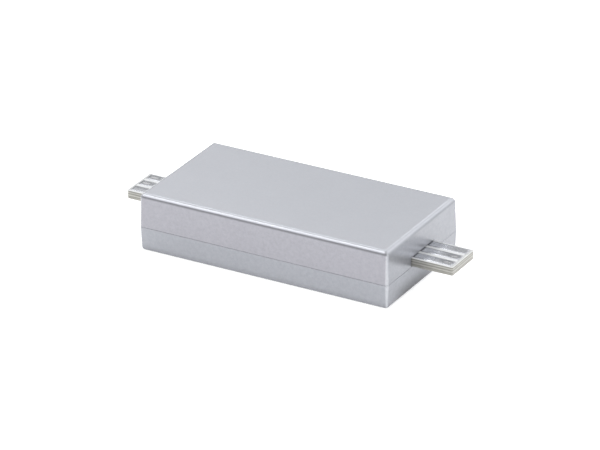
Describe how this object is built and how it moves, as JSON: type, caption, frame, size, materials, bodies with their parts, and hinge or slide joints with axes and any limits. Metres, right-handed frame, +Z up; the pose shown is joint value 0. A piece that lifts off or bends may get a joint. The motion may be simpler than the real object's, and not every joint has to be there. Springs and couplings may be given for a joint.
{
  "type": "flat battery module",
  "caption": "Flat rigid battery module: a tapered two-part silver case around a pouch cell, with a circuit-board contact tongue leaving each end.",
  "frame": {"origin": "centre of the underside, where the middle of the overall length and width meets the surface it stands on", "axes": "+X along the case, towards the tongue of the protection board; +Y across the case; +Z up, through the case's thickness"},
  "size_m": [0.0632, 0.0248, 0.0105],
  "materials": {
    "silver_paint": "satin",
    "board_laminate": "satin",
    "tinned_copper": "satin",
    "pouch_film": "satin",
    "electrode_roll": "matte",
    "aluminium_tab": "satin",
    "nickel_tab": "satin",
    "tab_sealant": "matte",
    "amber_tape": "gloss",
    "black_mould_compound": "matte",
    "chip_capacitor": "satin",
    "chip_resistor": "satin",
    "flexible_circuit": "satin",
    "double_sided_tape": "matte",
    "foam": "matte",
    "screw_steel": "polished"
  },
  "bodies": {
    "root": {"upper_shell": "silver_paint", "lower_shell": "silver_paint", "left_board": "board_laminate", "right_board": "board_laminate", "left_negative_contact": "tinned_copper", "left_signal_contact": "tinned_copper", "left_positive_contact": "tinned_copper", "right_negative_contact": "tinned_copper", "right_signal_contact": "tinned_copper", "right_positive_contact": "tinned_copper", "pouch_upper_film": "pouch_film", "pouch_lower_film": "pouch_film", "electrode_roll": "electrode_roll", "positive_tab": "aluminium_tab", "negative_tab": "nickel_tab", "positive_tab_sealant": "tab_sealant", "negative_tab_sealant": "tab_sealant", "positive_tab_tape": "amber_tape", "negative_tab_tape": "amber_tape", "protection_ic": "black_mould_compound", "dual_mosfet": "black_mould_compound", "thermistor": "chip_resistor", "sense_resistor": "chip_resistor", "filter_capacitor": "chip_capacitor", "fuse": "chip_capacitor", "surge_suppressor": "black_mould_compound", "bus_capacitor": "chip_capacitor", "identity_resistor": "chip_resistor", "flex_link": "flexible_circuit", "front_cell_tape": "double_sided_tape", "back_cell_tape": "double_sided_tape", "top_foam_pad": "foam", "front_left_screw": "screw_steel", "front_right_screw": "screw_steel", "back_left_screw": "screw_steel", "back_right_screw": "screw_steel"}
  },
  "joints": []
}
